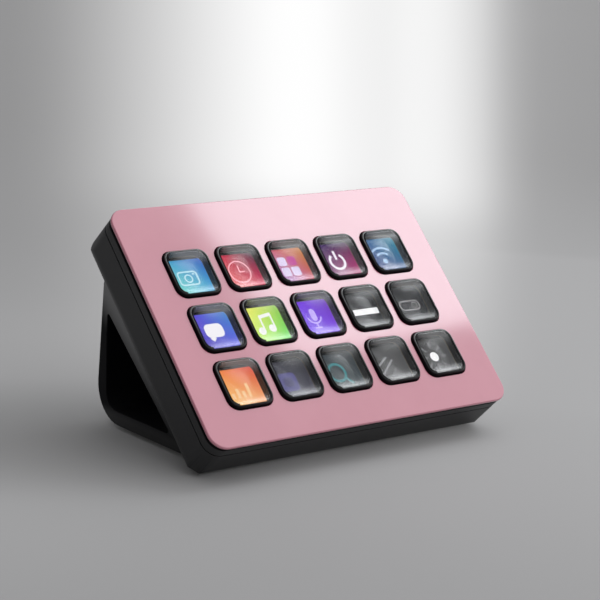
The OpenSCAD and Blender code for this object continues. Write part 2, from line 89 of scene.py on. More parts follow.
def mixColours(tree, share, first, second, **settings):
    # the mix node's colour sockets share their names with its others, so they go by number
    made = addNode(tree, "ShaderNodeMix", {"data_type": "RGBA", **settings}, {0: share, 6: first, 7: second})
    return made.outputs[2]


def addMath(tree, operation, *values):
    return addNode(tree, "ShaderNodeMath", {"operation": operation}, dict(enumerate(values))).outputs[0]


def smoothRange(tree, value, low, high, top=1.0):
    # nothing at low, top at high, and a smooth rise between them
    made = addNode(tree, "ShaderNodeMapRange", {"interpolation_type": "SMOOTHSTEP"},
                   {"Value": value, "From Min": low, "From Max": high, "To Max": top})
    return made.outputs["Result"]


def newGroup(name, inputs, outputs):
    group = bpy.data.node_groups.new(name, "ShaderNodeTree")
    for label, kind, value in inputs:
        socket = group.interface.new_socket(label, in_out="INPUT", socket_type=kind)
        if value is not None:
            socket.default_value = value
    for label, kind in outputs:
        group.interface.new_socket(label, in_out="OUTPUT", socket_type=kind)
    return group, group.nodes.new("NodeGroupInput"), group.nodes.new("NodeGroupOutput")


# what a finish has where it names nothing else
plainFinish = {"grainScale": 4000.0, "cloudScale": 40.0, "bump": 0.2, "depth": 0.02, "metal": 0.0,
               "specular": 0.5, "coat": 0.0, "coatRough": 0.1, "coatIor": 1.5}


def makeGrainGroup():
    # fine moulded grain, and slow clouds that vary tone and gloss
    group, start, end = newGroup(
        "mouldedGrain",
        [("Vector", "NodeSocketVector", None), ("Grain Scale", "NodeSocketFloat", plainFinish["grainScale"]),
         ("Cloud Scale", "NodeSocketFloat", plainFinish["cloudScale"])],
        [("Grain", "NodeSocketFloat"), ("Clouds", "NodeSocketFloat")])
    fine = addNode(group, "ShaderNodeTexNoise", None,
                   {"Vector": start.outputs["Vector"], "Scale": start.outputs["Grain Scale"],
                    "Detail": 2.0, "Roughness": 0.6})
    slow = addNode(group, "ShaderNodeTexNoise", None,
                   {"Vector": start.outputs["Vector"], "Scale": start.outputs["Cloud Scale"],
                    "Detail": 3.0, "Roughness": 0.55})
    clouds = smoothRange(group, slow.outputs["Fac"], low=0.3, high=0.7)
    fillInputs(group, end, {"Grain": fine.outputs["Fac"], "Clouds": clouds})
    return group


cornerLabels = ("Low Left", "Low Right", "High Left", "High Right")


def makeCornerGroup():
    # blends four corner colours over a picture
    group, start, end = newGroup(
        "cornerBlend",
        [("UV", "NodeSocketVector", None)]
        + [(label, "NodeSocketColor", (1, 1, 1, 1)) for label in cornerLabels],
        [("Color", "NodeSocketColor")])
    split = addNode(group, "ShaderNodeSeparateXYZ", None, {"Vector": start.outputs["UV"]})
    lowLeft, lowRight, highLeft, highRight = [start.outputs[label] for label in cornerLabels]
    low = mixColours(group, split.outputs["X"], lowLeft, lowRight)
    high = mixColours(group, split.outputs["X"], highLeft, highRight)
    fillInputs(group, end, {"Color": mixColours(group, split.outputs["Y"], low, high)})
    return group


grainGroup = makeGrainGroup()
cornerGroup = makeCornerGroup()


def newMaterial(name):
    material = bpy.data.materials.new(name)
    material.use_nodes = True
    return material, material.node_tree, material.node_tree.nodes["Principled BSDF"]


def addGrain(tree, shader, look):
    # uneven gloss, a fine grain in the surface and the kind of its coat
    where = addNode(tree, "ShaderNodeTexCoord").outputs["Object"]
    grain = addNode(tree, "ShaderNodeGroup", {"node_tree": grainGroup},
                    {"Vector": where, "Grain Scale": look["grainScale"], "Cloud Scale": look["cloudScale"]})
    clouds = grain.outputs["Clouds"]
    glossiest, dullest = look["rough"]
    gloss = addNode(tree, "ShaderNodeMapRange", None, {"Value": clouds, "To Min": glossiest, "To Max": dullest})
    bump = addNode(tree, "ShaderNodeBump", None, {"Height": grain.outputs["Grain"], "Strength": look["bump"],
                                                  "Distance": look["depth"] * mm})
    fillInputs(tree, shader, {"Roughness": gloss.outputs["Result"], "Normal": bump.outputs["Normal"],
                              "Coat Roughness": look["coatRough"], "Coat IOR": look["coatIor"]})
    return where, clouds


def addBand(tree, where, band):
    # a share that rises along the band's direction, between two distances from the scene's middle
    along = addNode(tree, "ShaderNodeVectorMath", {"operation": "DOT_PRODUCT"}, {0: where, 1: band["along"]})
    return smoothRange(tree, along.outputs["Value"], band["none"] * mm, band["full"] * mm, band["weight"])


def mouldedMaterial(name, finish):
    # plastic, metal or rubber, in two close tones
    look = {**plainFinish, **finish}
    material, tree, shader = newMaterial(name)
    where, clouds = addGrain(tree, shader, look)
    coat = look["coat"]
    if "coatMask" in look:
        coat = addNode(tree, "ShaderNodeAttribute", {"attribute_name": look["coatMask"]}).outputs["Fac"]
    if "paintedSheenBands" in look:
        coat = addMath(tree, "MAXIMUM", *[addBand(tree, where, band) for band in look["paintedSheenBands"]])
    fillInputs(tree, shader, {"Base Color": mixColours(tree, clouds, look["dark"], look["light"]),
                              "Metallic": look["metal"], "Specular IOR Level": look["specular"],
                              "Coat Weight": coat})
    return material


finishes = {
    "pinkPlate": {"dark": (0.572, 0.194, 0.262, 1), "light": (0.592, 0.206, 0.276, 1), "rough": (0.068, 0.085),
                  "grainScale": 5200.0, "cloudScale": 55.0, "bump": 0.04, "depth": 0.01, "specular": 0.8,
                  "coat": 1.0, "coatRough": 0.085, "coatIor": 1.6},
    "framePlastic": {"dark": (0.009, 0.009, 0.010, 1), "light": (0.014, 0.014, 0.015, 1), "rough": (0.36, 0.44),
                     "grainScale": 4500.0, "bump": 0.25},
    "housingPlastic": {"dark": (0.010, 0.010, 0.011, 1), "light": (0.016, 0.016, 0.017, 1),
                       "rough": (0.38, 0.46), "grainScale": 3800.0, "bump": 0.3, "depth": 0.03},
    "standPlastic": {"dark": (0.004, 0.004, 0.005, 1), "light": (0.008, 0.008, 0.009, 1), "rough": (0.40, 0.50),
                     "grainScale": 3600.0, "bump": 0.25, "depth": 0.03, "specular": 0.06, "coatRough": 0.3,
                     "coatIor": 2.45,
                     # a painted sheen: a glossier coat laid along the front member and the foot
                     "paintedSheenBands": [{"along": (0, -0.601, 0.813), "none": 3.5, "full": 15.0, "weight": 1.0},
                                   {"along": (0, 0, 1), "none": 7.5, "full": 3.5, "weight": 0.3}]},
    "padRubber": {"dark": (0.020, 0.020, 0.021, 1), "light": (0.034, 0.034, 0.035, 1), "rough": (0.78, 0.9),
                  "grainScale": 2200.0, "bump": 0.5, "depth": 0.06},
    # the rims' coat follows a painted highlight mask, set by place on each rim
    "keyRimSatin": {"dark": (0.002, 0.002, 0.003, 1), "light": (0.004, 0.004, 0.005, 1), "rough": (0.34, 0.42),
                    "cloudScale": 120.0, "grainScale": 6000.0, "bump": 0.06, "depth": 0.01, "specular": 0.1,
                    "coatRough": 0.2, "coatIor": 1.95, "coatMask": "rimPaintedHighlight"},
    # the border's coat follows the lips' painted highlight
    "capBorder": {"dark": (0.002, 0.002, 0.003, 1), "light": (0.004, 0.004, 0.005, 1), "rough": (0.34, 0.42),
                  "cloudScale": 120.0, "grainScale": 6000.0, "bump": 0.03, "depth": 0.01, "specular": 0.1,
                  "coatRough": 0.22, "coatIor": 1.85, "coatMask": "lipPaintedHighlight"},
    "capSide": {"dark": (0.012, 0.012, 0.013, 1), "light": (0.018, 0.018, 0.019, 1), "rough": (0.5, 0.6)},
    "matRubber": {"dark": (0.030, 0.030, 0.032, 1), "light": (0.045, 0.045, 0.047, 1), "rough": (0.7, 0.8)},
    "contactFilm": {"dark": (0.42, 0.28, 0.08, 1), "light": (0.50, 0.35, 0.12, 1), "rough": (0.3, 0.4)},
    "cream": {"dark": (0.60, 0.56, 0.44, 1), "light": (0.68, 0.64, 0.52, 1), "rough": (0.45, 0.55)},
    "displayGlass": {"dark": (0.010, 0.010, 0.013, 1), "light": (0.014, 0.014, 0.018, 1), "rough": (0.08, 0.14),
                     "bump": 0.02},
    "trayMetal": {"dark": (0.50, 0.51, 0.53, 1), "light": (0.60, 0.61, 0.63, 1), "rough": (0.3, 0.42),
                  "metal": 1.0},
    "flexFilm": {"dark": (0.50, 0.24, 0.05, 1), "light": (0.58, 0.30, 0.08, 1), "rough": (0.3, 0.4)},
    "spacerPlastic": {"dark": (0.66, 0.66, 0.63, 1), "light": (0.74, 0.74, 0.71, 1), "rough": (0.5, 0.6)},
    "boardGreen": {"dark": (0.008, 0.060, 0.030, 1), "light": (0.014, 0.085, 0.042, 1), "rough": (0.3, 0.4)},
    "chipBlack": {"dark": (0.012, 0.012, 0.014, 1), "light": (0.020, 0.020, 0.022, 1), "rough": (0.5, 0.6)},
    "socketMetal": {"dark": (0.52, 0.53, 0.55, 1), "light": (0.64, 0.65, 0.67, 1), "rough": (0.22, 0.34),
                    "metal": 1.0, "grainScale": 5000.0, "bump": 0.08},
    "screwSteel": {"dark": (0.26, 0.27, 0.28, 1), "light": (0.36, 0.37, 0.38, 1), "rough": (0.28, 0.4),
                   "metal": 1.0, "grainScale": 5000.0, "bump": 0.1},
}
materials = {name: mouldedMaterial(name, finish) for name, finish in finishes.items()}

clearPlastic = {"grainScale": 900.0, "cloudScale": 160.0, "bump": 0.02, "depth": 0.02, "coatRough": 0.22,
                "coatIor": 1.85}
clearLooks = {
    "clearCap": {"tint": (0.95, 0.95, 0.96, 1), "rough": (0.10, 0.15), "ior": 1.18},
    "capUnderside": {"tint": (0.97, 0.97, 0.98, 1), "rough": (0.02, 0.05), "ior": 1.05},
}


def clearMaterial(name, clearLook):
    # clear moulded plastic: a low-glare finger dish whose curled lips carry a coat laid on as a painted
    # highlight, and a coated underside
    look = {**clearPlastic, **clearLook}
    material, tree, shader = newMaterial(name)
    addGrain(tree, shader, look)
    lips = addNode(tree, "ShaderNodeAttribute", {"attribute_name": "lipPaintedHighlight"})
    fillInputs(tree, shader, {"Base Color": look["tint"], "Transmission Weight": 1.0, "IOR": look["ior"],
                              "Coat Weight": lips.outputs["Fac"]})
    return material


for name, clearLook in clearLooks.items():
    materials[name] = clearMaterial(name, clearLook)
print("materials made")


def ofKind(parts, kind):
    return [part for part in parts if isinstance(part, kind)]


def liesAt(part, z):
    # whether an edge or a face lies wholly at height z
    return all(abs(vert.co.z - z) < tiny for vert in part.verts)


def roundedFace(bm, width, height, radius, z, steps):
    # a flat rounded rectangle at height z, all in millimetres
    made = bmesh.ops.create_grid(bm, x_segments=1, y_segments=1, size=0.5,
                                 matrix=Matrix.Translation((0, 0, z)) @ Matrix.Diagonal((width, height, 1, 1)))
    bmesh.ops.bevel(bm, geom=made["verts"], offset=radius, offset_type="OFFSET", segments=steps,
                    profile=0.5, affect="VERTICES", material=-1)
    return [face for face in bm.faces if liesAt(face, z)][-1]


def liftFace(bm, face, dz):
    # pulls a face out along Z and returns the new one
    made = bmesh.ops.extrude_face_region(bm, geom=[face])["geom"]
    bmesh.ops.translate(bm, verts=ofKind(made, bmesh.types.BMVert), vec=(0, 0, dz))
    raised = ofKind(made, bmesh.types.BMFace)
    bmesh.ops.delete(bm, geom=[face], context="FACES_ONLY")
    return raised[0]


def softenEdges(bm, edges, width, steps):
    bmesh.ops.bevel(bm, geom=edges, offset=width, offset_type="OFFSET", segments=steps, profile=0.5,
                    affect="EDGES", material=-1, clamp_overlap=True)


creaseAngle = 50     # degrees; a sharper edge stays an edge in the shading


def smoothFaces(bm):
    for face in bm.faces:
        face.smooth = True
    for edge in bm.edges:
        if len(edge.link_faces) == 2 and edge.calc_face_angle(0) > math.radians(creaseAngle):
            edge.smooth = False


def makeObject(bm, name, looks):
    mesh = bpy.data.meshes.new(name)
    bm.to_mesh(mesh)
    bm.free()
    for look in looks:
        mesh.materials.append(look)
    made = bpy.data.objects.new(name, mesh)
    scene.collection.objects.link(made)
    return made


def finishKeyPiece(bm, row, column, name, looks, node):
    # takes a key's piece from its own millimetres to its place in the tilted deck
    x, y = keyCentre(row, column)
    tag = keyTag(row, column)
    bm.transform(Matrix.Diagonal((mm, mm, mm, 1)) @ Matrix.Translation((x, y, 0)))
    bmesh.ops.recalc_face_normals(bm, faces=bm.faces)
    bm.transform(deckPlace)
    piece = makeObject(bm, name + tag, [materials[look] for look in looks])
    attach(piece, "key_" + tag)
    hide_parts(node + tag)


# key rims: a glossy black bead round each cap, on its retaining flange
rimShape = {"width": 16.2, "flange": 18.0, "flangeCorner": 4.3, "flangeLow": -2.35, "flangeTop": -1.75,
            "cornerSteps": 8, "top": 1.0, "bore": 14.9,
            # an edge of the top that turns by more than this, in radians, is rounded: as the bead where it
            # reaches so far on one axis, or on both together, and as the narrow inner lip elsewhere
            "sharpFrom": 1.0,
            "beadFrom": 7.75, "beadCornerFrom": 14.1, "bead": 0.36, "beadSteps": 5, "lip": 0.14, "lipSteps": 3,
            # a painted highlight: the rounded top gets its glossy coat at its far side, and a little more
            # towards the right, so it shines there
            "gloss": 1.0, "glossMiddle": 0.45, "glossAside": 0.5}


def inBead(edge):
    reach = max(max(abs(vert.co.x), abs(vert.co.y)) for vert in edge.verts)
    cornerReach = sum(abs(vert.co.x) + abs(vert.co.y) for vert in edge.verts) / 2
    return reach > rimShape["beadFrom"] or cornerReach > rimShape["beadCornerFrom"]


def makeKeyRim(row, column):
    shape = rimShape
    bm = bmesh.new()
    face = roundedFace(bm, shape["flange"], shape["flange"], shape["flangeCorner"], shape["flangeLow"],
                       shape["cornerSteps"])
    lowRim = list(face.edges)
    face = liftFace(bm, face, shape["flangeTop"] - shape["flangeLow"])
    bmesh.ops.inset_region(bm, faces=[face], thickness=(shape["flange"] - shape["width"]) / 2,
                           use_even_offset=True)
    face = liftFace(bm, face, shape["top"] - shape["flangeTop"])
    bmesh.ops.inset_region(bm, faces=[face], thickness=(shape["width"] - shape["bore"]) / 2,
                           use_even_offset=True)
    face = liftFace(bm, face, shape["flangeLow"] - shape["top"])
    lowBore = list(face.edges)
    bmesh.ops.delete(bm, geom=[face], context="FACES_ONLY")
    bmesh.ops.bridge_loops(bm, edges=lowRim + lowBore)
    sharp = [edge for edge in bm.edges if len(edge.link_faces) == 2 and liesAt(edge, shape["top"])
             and edge.calc_face_angle(0) > shape["sharpFrom"]]
    outer = [edge for edge in sharp if inBead(edge)]
    inner = [edge for edge in sharp if not inBead(edge)]
    softenEdges(bm, outer, shape["bead"], shape["beadSteps"])
    softenEdges(bm, [edge for edge in inner if edge.is_valid], shape["lip"], shape["lipSteps"])
    # painted highlight: the coat is laid on the bead's top, most at its far side and towards the right
    rimPaintedHighlight = bm.verts.layers.float.new("rimPaintedHighlight")
    for vert in bm.verts:
        rise = (vert.co.z - shape["top"] + shape["bead"]) / shape["bead"]
        side = shape["glossMiddle"] + (shape["glossAside"] * vert.co.x + vert.co.y) / shape["width"]
        vert[rimPaintedHighlight] = shape["gloss"] * clamped(rise) * clamped(side)
    smoothFaces(bm)
    finishKeyPiece(bm, row, column, "keyRim.", ["keyRimSatin"], "key_rim_")


# key caps: clear blocks with a dished top that curls up at its near and far edges
capShape = {"width": 14.8, "corner": 2.7, "top": 1.08, "low": -2.95, "cells": 28,
            "dish": 0.10, "curl": 0.19, "curlWidth": 2.0,
            # the outermost cells are black where they lie within this distance of the left or right side
            "border": 2.4,
            # the coat on the curled lips is a painted highlight; the near lip's is a narrow crescent
            "nearFrom": 0.5, "nearWidth": 2.7, "nearFade": 1.4, "nearReach": 4.6,
            # the far lip's painted highlight spreads into the dish, narrower the further in
            "farFrom": 1.2, "farWidth": 6.2, "farFade": 2.2, "farMiddle": 2.2, "farSpread": 8.6,
            "farNarrowing": 6.5, "farGloss": 1.2}


def onRoundedSquare(x, y, half, corner):
    # moves a point of a square's ring to the same ring of a rounded square
    reach = max(abs(x), abs(y)) / half
    if reach == 0:
        return x, y
    length = math.hypot(x, y)
    ax, ay = abs(x) / length, abs(y) / length
    edge = half / max(ax, ay)
    inner = half - corner
    if min(ax, ay) * edge > inner:
        middle = inner * (ax + ay)
        edge = middle + math.sqrt(middle * middle - 2 * inner * inner + corner * corner)
    scale = edge * reach / length
    return x * scale, y * scale


# the lips' coat by place, shaped as a painted highlight over the real curl
def lipPaintedHighlightAt(x, y, half):
    shape = capShape
    inward = half - abs(y)
    if y < 0:
        gloss = clamped(1 - max(0.0, inward - shape["nearFrom"]) / shape["nearWidth"]) ** shape["nearFade"]
        return gloss * clamped((half - abs(x)) / (half - shape["nearReach"]))
    gloss = clamped(1 - max(0.0, inward - shape["farFrom"]) / shape["farWidth"])
    spread = shape["farSpread"] - shape["farNarrowing"] * (1 - gloss)
    gloss = gloss ** shape["farFade"] * clamped(1 - ((x - shape["farMiddle"]) / spread) ** 2)
    return min(1.0, gloss * shape["farGloss"])


def makeKeyCap(row, column):
    shape = capShape
    half = shape["width"] / 2
    bm = bmesh.new()
    bmesh.ops.create_grid(bm, x_segments=shape["cells"], y_segments=shape["cells"], size=half)
    lipPaintedHighlight = bm.verts.layers.float.new("lipPaintedHighlight")
    top = set(bm.faces)
    for vert in bm.verts:
        vert.co.x, vert.co.y = onRoundedSquare(vert.co.x, vert.co.y, half, shape["corner"])
        curl = max(0.0, 1 - (half - abs(vert.co.y)) / shape["curlWidth"]) ** 2
        dish = shape["dish"] * (1 - (vert.co.y / half) ** 2)
        vert.co.z = shape["top"] - dish - shape["curl"] * (1 - curl)
        vert[lipPaintedHighlight] = lipPaintedHighlightAt(vert.co.x, vert.co.y, half)
    border = [face for face in top if abs(face.calc_center_median().x) > half - shape["border"]
              and any(vert.is_boundary for vert in face.verts)]
    rim = [edge for edge in bm.edges if edge.is_boundary]
    made = bmesh.ops.extrude_edge_only(bm, edges=rim)["geom"]
    for vert in ofKind(made, bmesh.types.BMVert):
        vert.co.z = shape["low"]
    lowRim = [edge for edge in ofKind(made, bmesh.types.BMEdge) if liesAt(edge, shape["low"])]
    under = bmesh.ops.contextual_create(bm, geom=lowRim)["faces"]
    for face in bm.faces:
        face.smooth = face in top
    for index, faces in enumerate([ofKind(made, bmesh.types.BMFace), under, border]):
        for face in faces:
            face.material_index = index + 1
    finishKeyPiece(bm, row, column, "keyCap.",
                   ["clearCap", "capSide", "capUnderside", "capBorder"], "key_cap_")


# pictures that the display shows under the keys, and the marks on them
screen = {"width": 14.3, "height": 13.6, "z": -3.72, "shiftX": 0.6, "shiftY": -0.15, "cells": 4,
          "markX": 0.25, "markY": 0.14, "markTones": (0.95, 0.98, 0.97, 1.0), "lift": 0.012, "liftStep": 0.3,
          "strength": 0.98, "glass": (0.02, 0.02, 0.022, 1), "specular": 0.05, "smearScale": 30.0,
          "padSteps": 6, "discSteps": 40, "ringSteps": 48, "arcSteps": 32}
sun = {"reach": 4.1, "length": 2.2, "line": 0.6, "apart": 45}
sunRays = [("bar2", sun["reach"] * math.cos(math.radians(turn)), sun["reach"] * math.sin(math.radians(turn)),
            sun["length"], sun["line"], turn) for turn in range(0, 360, sun["apart"])]
# corners: low left, low right, high left, high right. A shape is its kind, the place of its middle and its
# sizes: a bar's width, height and turn, a pad's width, height and corner, a frame's the same and its line, a
# disc's radius, a ring's radius and line, an arc's radius, line, start and end. A 2 gives the second colour.
pictures = {
    (1, 1): {"corners": [(100, 225, 195), (85, 180, 220), (80, 175, 210), (35, 85, 190)],
             "mark": (196, 236, 246),
             "shapes": [("frame", 0, -0.2, 7.4, 5.2, 1.3, 0.55), ("ring", 0, -0.3, 1.55, 0.5),
                        ("bar", 2.3, 1.2, 0.9, 0.5, 0)]},
    (1, 2): {"corners": [(238, 105, 95), (225, 50, 95), (220, 40, 72), (5, 10, 50)], "mark": (255, 190, 200),
             "shapes": [("ring", 0, 0, 4.1, 0.42), ("bar", 0, 1.15, 0.5, 2.6, 0),
                        ("bar", 0.95, 0, 2.1, 0.5, 0)]},
    (1, 3): {"corners": [(105, 95, 200), (200, 62, 98), (200, 60, 115), (200, 130, 40)],
             "mark": (225, 210, 242), "second": (196, 60, 150),
             "shapes": [("pad", -2.0, 1.9, 3.3, 3.3, 0.7), ("pad", -2.0, -2.0, 3.3, 3.3, 0.7),
                        ("pad", 1.9, -2.0, 3.3, 3.3, 0.7), ("pad2", 1.9, 1.9, 3.3, 3.3, 0.7)]},
    (1, 4): {"corners": [(110, 40, 108), (185, 36, 112), (52, 24, 95), (60, 10, 66)], "mark": (252, 246, 254),
             "shapes": [("arc", 0.1, -0.3, 3.3, 0.95, 125, 415), ("bar", 0.1, 2.1, 0.95, 3.3, 0)]},
    (1, 5): {"corners": [(12, 24, 112), (38, 76, 135), (18, 68, 142), (25, 132, 155)], "mark": (165, 200, 232),
             "shapes": [("arc", 0, -2.6, 6.0, 0.8, 50, 130), ("arc", 0, -2.6, 3.9, 0.8, 50, 130),
                        ("disc", 0, -2.2, 0.95)]},
    (2, 1): {"corners": [(48, 16, 160), (108, 98, 230), (98, 55, 218), (50, 130, 200)], "mark": (252, 250, 255),
             "shapes": [("pad", 0.5, 0.5, 6.8, 4.8, 1.7), ("bar", -1.0, -2.2, 1.6, 1.6, 45)]},
    (2, 2): {"corners": [(195, 242, 100), (110, 228, 112), (255, 250, 115), (145, 202, 66)],
             "mark": (253, 255, 250),
             "shapes": [("disc", -1.9, -2.0, 1.35), ("disc", 2.3, -1.4, 1.35), ("bar", -0.85, 0.6, 0.6, 5.2, 0),
                        ("bar", 3.35, 1.2, 0.6, 5.2, 0), ("bar", 1.25, 3.3, 4.8, 1.2, 8)]},
    (2, 3): {"corners": [(115, 68, 238), (128, 72, 230), (118, 55, 235), (98, 25, 178)],
             "mark": (200, 178, 255),
             "shapes": [("pad", 0, 1.3, 2.3, 4.4, 1.1), ("arc", 0, 0.9, 2.9, 0.55, 190, 350),
                        ("bar", 0, -2.7, 0.55, 1.7, 0), ("bar", 0, -3.5, 2.8, 0.55, 0)]},
    (2, 4): {"corners": [(8, 8, 9), (18, 18, 20), (10, 10, 11), (10, 10, 11)], "mark": (255, 255, 255),
             "second": (64, 64, 66),
             "shapes": [("bar", 1.5, -0.1, 10.2, 2.2, 0), ("bar2", -2.6, -3.2, 5.2, 0.6, 0)]},
    (2, 5): {"corners": [(30, 30, 32), (24, 24, 26), (14, 14, 16), (20, 20, 22)], "mark": (150, 148, 148),
             "second": (112, 110, 112),
             "shapes": [("frame", 0.6, 0, 8.6, 3.9, 1.9, 0.5), ("ring", 2.6, 0, 1.2, 0.4),
                        ("bar2", -4.9, -2.2, 2.6, 0.45, 38)]},
    (3, 1): {"corners": [(246, 196, 88), (250, 182, 125), (246, 142, 70), (224, 60, 40)],
             "mark": (255, 206, 150),
             "shapes": [("bar", -3.3, -2.6, 1.1, 1.9, 0), ("bar", -1.3, -1.9, 1.1, 3.3, 0),
                        ("bar", 0.7, -2.4, 1.1, 2.3, 0), ("bar", 2.7, -1.2, 1.1, 4.7, 0)]},
    (3, 2): {"corners": [(40, 48, 70), (84, 82, 94), (42, 42, 56), (36, 36, 40)], "mark": (76, 72, 132),
             "second": (60, 58, 104),
             "shapes": [("pad", -1.3, -0.8, 6.6, 6.4, 1.4), ("pad2", -1.3, -0.8, 3.4, 3.2, 0.8)]},
    (3, 3): {"corners": [(28, 52, 52), (80, 88, 92), (44, 54, 60), (46, 50, 52)], "mark": (56, 132, 136),
             "shapes": [("ring", -1.5, -0.2, 3.5, 0.9), ("bar", 1.9, -3.5, 3.2, 0.9, -45)]},
    (3, 4): {"corners": [(60, 60, 60), (90, 90, 90), (28, 28, 28), (68, 68, 68)], "mark": (142, 142, 144),
             "second": (108, 108, 110),
             "shapes": [("bar", -2.4, 0.8, 6.4, 0.7, 32), ("bar", -0.9, -1.1, 8.0, 0.7, 38),
                        ("bar2", -2.6, -3.2, 4.6, 0.6, 34), ("bar2", 1.2, -3.0, 3.4, 0.6, 52)]},
    (3, 5): {"corners": [(58, 58, 58), (84, 84, 84), (24, 24, 24), (74, 74, 74)], "mark": (255, 255, 255),
             "second": (122, 122, 124), "shapes": [("disc", 0, 0, 1.7)] + sunRays},
}


def glowMaterial(name, corners):
    material, tree, shader = newMaterial(name)
    where = addNode(tree, "ShaderNodeTexCoord").outputs["UV"]
    tones = {label: colour(*value) for label, value in zip(cornerLabels, corners)}
    blend = addNode(tree, "ShaderNodeGroup", {"node_tree": cornerGroup}, {"UV": where, **tones})
    smear = addNode(tree, "ShaderNodeTexNoise", None,
                    {"Vector": where, "Scale": screen["smearScale"], "Detail": 1.0})
    fillInputs(tree, shader, {"Base Color": screen["glass"], "Specular IOR Level": screen["specular"],
                              "Roughness": smear.outputs["Fac"], "Emission Color": blend.outputs["Color"],
                              "Emission Strength": screen["strength"]})
    return material


def placed(x, y, z, turn=0.0, width=1.0, height=1.0):
    return (Matrix.Translation((x, y, z)) @ Matrix.Rotation(math.radians(turn), 4, "Z")
            @ Matrix.Diagonal((width, height, 1, 1)))


def hollow(bm, face, line):
    # leaves only a line of a flat face, along its edge
    bmesh.ops.inset_region(bm, faces=[face], thickness=line, use_boundary=True, use_even_offset=True)
    bmesh.ops.delete(bm, geom=[face], context="FACES")


def drawShape(bm, shape, z):
    # one mark of a picture, flat, just above it
    name, x, y, *sizes = shape
    kind = name.rstrip("2")
    before = set(bm.faces)
    if kind == "bar":
        width, height, turn = sizes
        bmesh.ops.create_grid(bm, x_segments=1, y_segments=1, size=0.5,
                              matrix=placed(x, y, z, turn, width, height))
    elif kind in ("pad", "frame"):
        face = roundedFace(bm, *sizes[:3], z, screen["padSteps"])
        bmesh.ops.translate(bm, verts=face.verts, vec=(x, y, 0))
        if kind == "frame":
            hollow(bm, face, sizes[3])
    elif kind in ("disc", "ring"):
        bmesh.ops.create_circle(bm, cap_ends=True, segments=screen[kind + "Steps"], radius=sizes[0],
                                matrix=placed(x, y, z))
        if kind == "ring":
            hollow(bm, [face for face in bm.faces if face not in before][0], sizes[1])
    elif kind == "arc":
        radius, line, start, stop = sizes
        start, stop = math.radians(start), math.radians(stop)
        ends = [bm.verts.new((x + reach * math.cos(start), y + reach * math.sin(start), z))
                for reach in (radius - line, radius)]
        edge = bm.edges.new(ends)
        bmesh.ops.spin(bm, geom=ends + [edge], cent=(x, y, z), axis=(0, 0, 1), angle=stop - start,
                       steps=screen["arcSteps"], use_duplicate=False)
    for face in bm.faces:
        if face not in before:
            face.material_index = 2 if name.endswith("2") else 1


def makePicture(row, column):
    content = pictures[(row, column)]
    offX, offY = screen["shiftX"] - screen["markX"], screen["shiftY"] - screen["markY"]
    bm = bmesh.new()
    uvMap = bm.loops.layers.uv.new("UVMap")
    bmesh.ops.create_grid(bm, x_segments=screen["cells"], y_segments=screen["cells"], size=0.5)
    bm.transform(Matrix.Diagonal((screen["width"], screen["height"], 1, 1)))
    bm.transform(Matrix.Translation((offX, offY, 0)))
    for index, shape in enumerate(content["shapes"]):
        drawShape(bm, shape, screen["lift"] * (1 + screen["liftStep"] * index))
    for face in bm.faces:
        face.normal_update()
        if face.normal.z < 0:
            face.normal_flip()
        for loop in face.loops:
            # the map runs over the whole picture, for its ground and its marks alike
            loop[uvMap].uv = ((loop.vert.co.x - offX) / screen["width"] + 0.5,
                              (loop.vert.co.y - offY) / screen["height"] + 0.5)
    x, y = keyCentre(row, column)
    bm.transform(Matrix.Diagonal((mm, mm, mm, 1))
                 @ Matrix.Translation((x + screen["markX"], y + screen["markY"], screen["z"])))
    bm.transform(deckPlace)
    tag = keyTag(row, column)
    looks = [glowMaterial("picture" + tag, content["corners"])]
    for name in ("mark", "second"):
        if name in content:
            tones = [[value * share for value in content[name]] for share in screen["markTones"]]
            looks.append(glowMaterial(name + tag, tones))
    piece = makeObject(bm, "picture." + tag, looks)
    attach(piece, "deck_and_stand")


for row in range(1, deck["rows"] + 1):
    for column in range(1, deck["columns"] + 1):
        makeKeyRim(row, column)
        makeKeyCap(row, column)
        makePicture(row, column)
print("keys made")

# outer pieces: the frame's own shapes with moulded, rounded edges
softCopy = {"weld": 0.002, "flatAngle": 0.5, "normalWeight": 100}
outerEdges = {
    "faceplate": {"name": "faceplateSoft", "look": "pinkPlate", "slot": "pink_plate",
                  "width": 0.12, "steps": 2, "angle": 20},
    "front_frame": {"name": "frontFrameSoft", "look": "framePlastic", "slot": "frame_plastic",
                    "width": 0.15, "steps": 2, "angle": 35},
    "rear_housing": {"name": "rearHousingSoft", "look": "housingPlastic", "slot": "housing_plastic",
                     "width": 0.2, "steps": 2, "angle": 35},
    "stand": {"name": "standSoft", "look": "standPlastic", "slot": "stand_plastic",
              "width": 0.5, "steps": 3, "angle": 35},
    "stand_base_pad": {"name": "basePadSoft", "look": "padRubber", "slot": "pad_rubber",
                       "width": 0.3, "steps": 2, "angle": 35},
}


def makeSoftCopy(node, look):
    bm = bmesh.new()
    bm.from_mesh(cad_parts[node].data)
    bmesh.ops.remove_doubles(bm, verts=bm.verts, dist=softCopy["weld"] * mm)
    bmesh.ops.dissolve_limit(bm, angle_limit=math.radians(softCopy["flatAngle"]), verts=bm.verts,
                             edges=bm.edges)
    sharp = [edge for edge in bm.edges if len(edge.link_faces) == 2
             and edge.calc_face_angle_signed(0) > math.radians(look["angle"])]
    softenEdges(bm, sharp, look["width"] * mm, look["steps"])
    smoothFaces(bm)
    piece = makeObject(bm, look["name"], [materials[look["look"]]])
    weighted = piece.modifiers.new("flatFacesFirst", "WEIGHTED_NORMAL")
    weighted.keep_sharp = True
    weighted.weight = softCopy["normalWeight"]
    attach(piece, "deck_and_stand")
    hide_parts(node)


for node, look in outerEdges.items():
    makeSoftCopy(node, look)
print("outer pieces softened")

